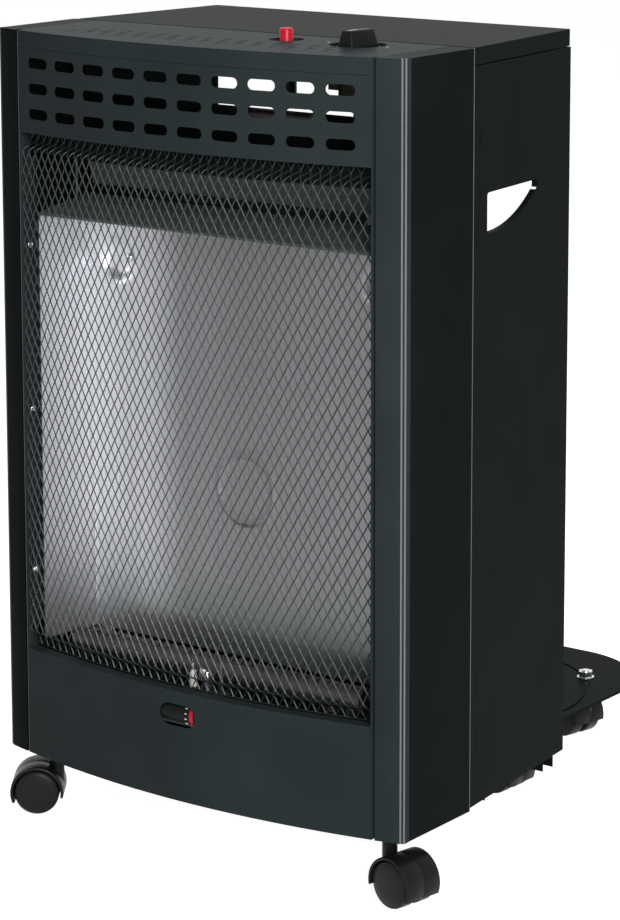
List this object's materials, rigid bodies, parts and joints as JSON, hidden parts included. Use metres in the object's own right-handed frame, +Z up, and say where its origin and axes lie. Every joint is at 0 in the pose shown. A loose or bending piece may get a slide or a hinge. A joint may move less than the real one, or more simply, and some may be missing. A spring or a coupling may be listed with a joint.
{
  "type": "portable gas cabinet heater",
  "caption": "Folding cabinet heater on casters: bowed slotted grille, diamond mesh guard over a steel reflector, knob and igniter on top, hinged sides, cover and bottle tray.",
  "frame": {"origin": "middle of the whole heater's footprint, on the floor, with the tray down", "axes": "+Z up, +Y from the bowed front to the bottle tray, +X to the right seen from the front"},
  "size_m": [0.4765, 0.608, 0.756],
  "materials": {
    "charcoal_panel": "satin",
    "black_panel": "satin",
    "guard_mesh": "matte",
    "reflector_steel": "satin",
    "deflector_steel": "satin",
    "galvanised": "dull",
    "burner_steel": "heat dulled",
    "ceramic": "glazed",
    "black_plastic": "fine grain",
    "red_plastic": "gloss",
    "zinc": "zinc plated",
    "brass": "dull",
    "copper": "dull",
    "wheel_plastic": "satin",
    "tread": "matte",
    "dial_plastic": "satin"
  },
  "bodies": {
    "front_unit": {"left_side_panel": "black_panel", "right_side_panel": "black_panel", "base_pan": "black_panel", "control_top": "charcoal_panel", "upper_grille": "charcoal_panel", "lower_front_panel": "charcoal_panel", "mesh_guard": "guard_mesh", "guard_rails": "black_panel", "reflector": "reflector_steel", "lower_deflector": "deflector_steel", "upper_deflector": "deflector_steel", "rear_shield": "galvanised", "firebox_floor": "black_panel", "burner_tube": "burner_steel", "pilot_burner": "burner_steel", "spark_electrode": "ceramic", "thermocouple": "copper", "indicator_drum": "dial_plastic", "gas_valve": "brass", "igniter_body": "black_plastic", "gas_pipes": "copper", "hose_inlet": "brass", "panel_screws": "zinc", "front_caster_stems": "zinc", "side_hinge_pins": "zinc", "cover_hinge_pins": "zinc", "tray_hinge_brackets": "black_panel"},
    "valve_spindle": {"valve_spindle": "zinc"},
    "knob": {"control_knob": "black_plastic"},
    "igniter_button": {"igniter_button": "red_plastic"},
    "left_rear_side": {"left_rear_side": "black_panel"},
    "right_rear_side": {"right_rear_side": "black_panel"},
    "top_cover": {"rear_top_cover": "black_panel"},
    "bottle_tray": {"bottle_tray": "black_panel", "tray_channels": "black_panel", "tray_caster_stems": "zinc"},
    "front_right_caster": {"front_right_caster_hood": "wheel_plastic", "front_right_caster_axle": "zinc"},
    "front_right_near_wheel": {"front_right_caster_near_wheel": "tread"},
    "front_right_far_wheel": {"front_right_caster_far_wheel": "tread"},
    "front_left_caster": {"front_left_caster_hood": "wheel_plastic", "front_left_caster_axle": "zinc"},
    "front_left_near_wheel": {"front_left_caster_near_wheel": "tread"},
    "front_left_far_wheel": {"front_left_caster_far_wheel": "tread"},
    "middle_right_caster": {"middle_right_caster_hood": "wheel_plastic", "middle_right_caster_axle": "zinc"},
    "middle_right_near_wheel": {"middle_right_caster_near_wheel": "tread"},
    "middle_right_far_wheel": {"middle_right_caster_far_wheel": "tread"},
    "middle_left_caster": {"middle_left_caster_hood": "wheel_plastic", "middle_left_caster_axle": "zinc"},
    "middle_left_near_wheel": {"middle_left_caster_near_wheel": "tread"},
    "middle_left_far_wheel": {"middle_left_caster_far_wheel": "tread"},
    "rear_right_caster": {"rear_right_caster_hood": "wheel_plastic", "rear_right_caster_axle": "zinc"},
    "rear_right_near_wheel": {"rear_right_caster_near_wheel": "tread"},
    "rear_right_far_wheel": {"rear_right_caster_far_wheel": "tread"},
    "rear_left_caster": {"rear_left_caster_hood": "wheel_plastic", "rear_left_caster_axle": "zinc"},
    "rear_left_near_wheel": {"rear_left_caster_near_wheel": "tread"},
    "rear_left_far_wheel": {"rear_left_caster_far_wheel": "tread"}
  },
  "joints": [
    {"name": "knob_turn", "type": "hinge", "parent": "front_unit", "child": "valve_spindle", "pos_m": [0.127, -0.206, 0.74], "axis": [0, 0, 1], "range_deg": [0, 180]},
    {"name": "knob_press", "type": "slide", "parent": "valve_spindle", "child": "knob", "axis": [0, 0, -1], "range_m": [0, 0.004], "stiffness_N_per_m": 400, "springref_m": -0.002},
    {"name": "igniter_press", "type": "slide", "parent": "front_unit", "child": "igniter_button", "axis": [0, 0, -1], "range_m": [0, 0.006], "stiffness_N_per_m": 400, "springref_m": -0.002},
    {"name": "left_side_fold", "type": "hinge", "parent": "front_unit", "child": "left_rear_side", "pos_m": [-0.2155, -0.158, 0.4], "axis": [0, 0, -1], "range_deg": [0, 85]},
    {"name": "right_side_fold", "type": "hinge", "parent": "front_unit", "child": "right_rear_side", "pos_m": [0.2155, -0.158, 0.4], "axis": [0, 0, 1], "range_deg": [0, 85]},
    {"name": "top_cover_lift", "type": "hinge", "parent": "front_unit", "child": "top_cover", "pos_m": [0, -0.165, 0.736], "axis": [1, 0, 0], "range_deg": [0, 88]},
    {"name": "tray_fold", "type": "hinge", "parent": "front_unit", "child": "bottle_tray", "pos_m": [0, -0.134, 0.055], "axis": [1, 0, 0], "range_deg": [0, 90]},
    {"name": "front_right_swivel", "type": "hinge", "parent": "front_unit", "child": "front_right_caster", "pos_m": [0.192, -0.248, 0.045], "axis": [0, 0, 1], "continuous": true},
    {"name": "front_right_near_roll", "type": "hinge", "parent": "front_right_caster", "child": "front_right_near_wheel", "pos_m": [0.20967, -0.25143, 0.021], "axis": [-0.1908, -0.9816, 0], "continuous": true},
    {"name": "front_right_far_roll", "type": "hinge", "parent": "front_right_caster", "child": "front_right_far_wheel", "pos_m": [0.20967, -0.25143, 0.021], "axis": [-0.1908, -0.9816, 0], "continuous": true},
    {"name": "front_left_swivel", "type": "hinge", "parent": "front_unit", "child": "front_left_caster", "pos_m": [-0.192, -0.248, 0.045], "axis": [0, 0, 1], "continuous": true},
    {"name": "front_left_near_roll", "type": "hinge", "parent": "front_left_caster", "child": "front_left_near_wheel", "pos_m": [-0.20656, -0.25858, 0.021], "axis": [-0.5878, 0.809, 0], "continuous": true},
    {"name": "front_left_far_roll", "type": "hinge", "parent": "front_left_caster", "child": "front_left_far_wheel", "pos_m": [-0.20656, -0.25858, 0.021], "axis": [-0.5878, 0.809, 0], "continuous": true},
    {"name": "middle_right_swivel", "type": "hinge", "parent": "bottle_tray", "child": "middle_right_caster", "pos_m": [0.098, 0.048, 0.045], "axis": [0, 0, 1], "continuous": true},
    {"name": "middle_right_near_roll", "type": "hinge", "parent": "middle_right_caster", "child": "middle_right_near_wheel", "pos_m": [0.11596, 0.04674, 0.021], "axis": [-0.0698, -0.9976, 0], "continuous": true},
    {"name": "middle_right_far_roll", "type": "hinge", "parent": "middle_right_caster", "child": "middle_right_far_wheel", "pos_m": [0.11596, 0.04674, 0.021], "axis": [-0.0698, -0.9976, 0], "continuous": true},
    {"name": "middle_left_swivel", "type": "hinge", "parent": "bottle_tray", "child": "middle_left_caster", "pos_m": [-0.098, 0.048, 0.045], "axis": [0, 0, 1], "continuous": true},
    {"name": "middle_left_near_roll", "type": "hinge", "parent": "middle_left_caster", "child": "middle_left_near_wheel", "pos_m": [-0.11491, 0.04184, 0.021], "axis": [-0.342, 0.9397, 0], "continuous": true},
    {"name": "middle_left_far_roll", "type": "hinge", "parent": "middle_left_caster", "child": "middle_left_far_wheel", "pos_m": [-0.11491, 0.04184, 0.021], "axis": [-0.342, 0.9397, 0], "continuous": true},
    {"name": "rear_right_swivel", "type": "hinge", "parent": "bottle_tray", "child": "rear_right_caster", "pos_m": [0.098, 0.226, 0.045], "axis": [0, 0, 1], "continuous": true},
    {"name": "rear_right_near_roll", "type": "hinge", "parent": "rear_right_caster", "child": "rear_right_near_wheel", "pos_m": [0.08053, 0.23035, 0.021], "axis": [0.2419, 0.9703, 0], "continuous": true},
    {"name": "rear_right_far_roll", "type": "hinge", "parent": "rear_right_caster", "child": "rear_right_far_wheel", "pos_m": [0.08053, 0.23035, 0.021], "axis": [0.2419, 0.9703, 0], "continuous": true},
    {"name": "rear_left_swivel", "type": "hinge", "parent": "bottle_tray", "child": "rear_left_caster", "pos_m": [-0.098, 0.226, 0.045], "axis": [0, 0, 1], "continuous": true},
    {"name": "rear_left_near_roll", "type": "hinge", "parent": "rear_left_caster", "child": "rear_left_near_wheel", "pos_m": [-0.11359, 0.235, 0.021], "axis": [0.5, 0.866, 0], "continuous": true},
    {"name": "rear_left_far_roll", "type": "hinge", "parent": "rear_left_caster", "child": "rear_left_far_wheel", "pos_m": [-0.11359, 0.235, 0.021], "axis": [0.5, 0.866, 0], "continuous": true}
  ]
}
